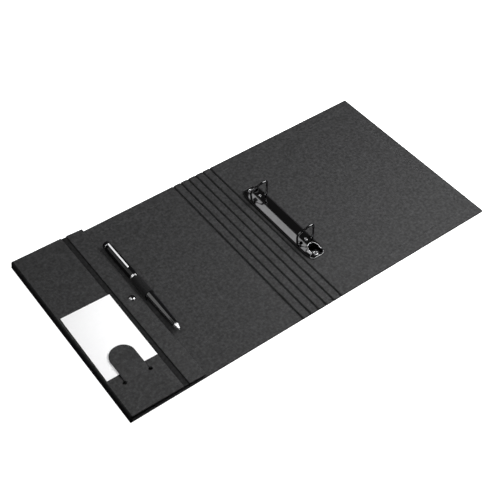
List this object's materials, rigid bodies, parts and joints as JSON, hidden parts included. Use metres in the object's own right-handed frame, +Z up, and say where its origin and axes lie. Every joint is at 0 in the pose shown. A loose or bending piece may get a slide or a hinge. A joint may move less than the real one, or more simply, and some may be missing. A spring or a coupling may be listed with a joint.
{
  "type": "ring binder",
  "caption": "Small paper-covered ring binder lying open, with a spine of folding strips, a pocket flap with a press stud and card holder, an arched ring mechanism and a pen in an elastic loop.",
  "frame": {"origin": "middle of the open binder's outer face, on the table", "axes": "+X across the open covers from the front cover to the back cover, +Y along the spine, +Z up out of the inner faces"},
  "size_m": [0.4479, 0.231, 0.0288],
  "materials": {
    "black_paper": "matt charcoal covering paper with a fine fibrous mottle",
    "greyboard": "raw grey board, seen only at the joints between layers",
    "black_metal": "gloss black plated steel",
    "bright_steel": "bright sheet steel, inside the mechanism and the pen",
    "chrome": "polished chrome pen trim",
    "gloss_black": "gloss black lacquer",
    "black_elastic": "matt black woven elastic",
    "white_card": "blank white card, smooth and matt"
  },
  "bodies": {
    "back_cover": {"back_cover_paper": "black_paper", "back_cover_board": "greyboard", "back_cover_liner": "black_paper", "ring_housing": "black_metal", "rivet_near": "black_metal", "rivet_far": "black_metal", "crown_eyelet_near": "black_metal", "crown_eyelet_far": "black_metal"},
    "left_rings": {"left_carrier": "bright_steel", "left_ring_near": "black_metal", "left_ring_far": "black_metal"},
    "right_rings": {"right_carrier": "bright_steel", "right_ring_near": "black_metal", "right_ring_far": "black_metal"},
    "spine_1": {"spine_1_paper": "black_paper", "spine_1_board": "greyboard", "spine_1_liner": "black_paper"},
    "spine_2": {"spine_2_paper": "black_paper", "spine_2_board": "greyboard", "spine_2_liner": "black_paper"},
    "spine_3": {"spine_3_paper": "black_paper", "spine_3_board": "greyboard", "spine_3_liner": "black_paper"},
    "spine_4": {"spine_4_paper": "black_paper", "spine_4_board": "greyboard", "spine_4_liner": "black_paper"},
    "spine_5": {"spine_5_paper": "black_paper", "spine_5_board": "greyboard", "spine_5_liner": "black_paper"},
    "front_cover": {"front_cover_paper": "black_paper", "front_cover_board": "greyboard", "front_cover_liner": "black_paper", "snap_post": "black_metal", "pen_loop": "black_elastic"},
    "fore_edge": {"fore_edge_paper": "black_paper", "fore_edge_board": "greyboard", "fore_edge_liner": "black_paper"},
    "flap": {"flap_paper": "black_paper", "flap_board": "greyboard", "flap_liner": "black_paper"},
    "tongue": {"card_tongue": "black_paper"},
    "tab": {"tab_paper": "black_paper", "tab_board": "greyboard", "tab_liner": "black_paper", "snap_cap": "black_metal", "snap_socket": "black_metal"},
    "card": {"business_card": "white_card"},
    "pen": {"pen_refill": "bright_steel", "pen_tip": "chrome", "pen_lower_barrel": "gloss_black", "pen_centre_ring": "chrome", "pen_upper_barrel": "gloss_black", "pen_end_cap": "gloss_black", "pen_clip": "chrome"}
  },
  "joints": [
    {"name": "spine_fold_1", "type": "hinge", "parent": "back_cover", "child": "spine_1", "pos_m": [0.0245, 0, 0], "axis": [0, 1, 0], "range_deg": [0, 30]},
    {"name": "spine_fold_2", "type": "hinge", "parent": "spine_1", "child": "spine_2", "pos_m": [0.0147, 0, 0], "axis": [0, 1, 0], "range_deg": [0, 30]},
    {"name": "spine_fold_3", "type": "hinge", "parent": "spine_2", "child": "spine_3", "pos_m": [0.0049, 0, 0], "axis": [0, 1, 0], "range_deg": [0, 30]},
    {"name": "spine_fold_4", "type": "hinge", "parent": "spine_3", "child": "spine_4", "pos_m": [-0.0049, 0, 0], "axis": [0, 1, 0], "range_deg": [0, 30]},
    {"name": "spine_fold_5", "type": "hinge", "parent": "spine_4", "child": "spine_5", "pos_m": [-0.0147, 0, 0], "axis": [0, 1, 0], "range_deg": [0, 30]},
    {"name": "front_cover_fold", "type": "hinge", "parent": "spine_5", "child": "front_cover", "pos_m": [-0.0245, 0, 0], "axis": [0, 1, 0], "range_deg": [0, 30]},
    {"name": "fore_edge_fold", "type": "hinge", "parent": "front_cover", "child": "fore_edge", "pos_m": [-0.224, 0, 0], "axis": [0, -1, 0], "range_deg": [0, 98]},
    {"name": "flap_fold", "type": "hinge", "parent": "fore_edge", "child": "flap", "pos_m": [-0.22237, 0, 0.00926], "axis": [0, -1, 0], "range_deg": [0, 80]},
    {"name": "tab_fold", "type": "hinge", "parent": "flap", "child": "tab", "pos_m": [-0.16162, 0, 0.0061], "axis": [0, -1, 0], "range_deg": [0, 60]},
    {"name": "tongue_bend", "type": "hinge", "parent": "flap", "child": "tongue", "pos_m": [-0.19289, -0.0803, 0.00781], "axis": [0.9997, 0, -0.0236], "range_deg": [0, 20], "stiffness_Nm_per_rad": 0.02},
    {"name": "card_slide", "type": "slide", "parent": "flap", "child": "card", "axis": [0, 1, 0], "range_m": [0, 0.08]},
    {"name": "pen_slide", "type": "slide", "parent": "front_cover", "child": "pen", "axis": [0, 1, 0], "range_m": [0, 0.085]},
    {"name": "left_rings_open", "type": "hinge", "parent": "back_cover", "child": "left_rings", "pos_m": [0.0302, 0, 0.0041], "axis": [0, -1, 0], "range_deg": [0, 18]},
    {"name": "right_rings_open", "type": "hinge", "parent": "back_cover", "child": "right_rings", "pos_m": [0.0482, 0, 0.0041], "axis": [0, 1, 0], "range_deg": [0, 18]}
  ],
  "couplings": [
    {"joint": "right_rings_open", "follows": "left_rings_open", "ratio": 1}
  ]
}
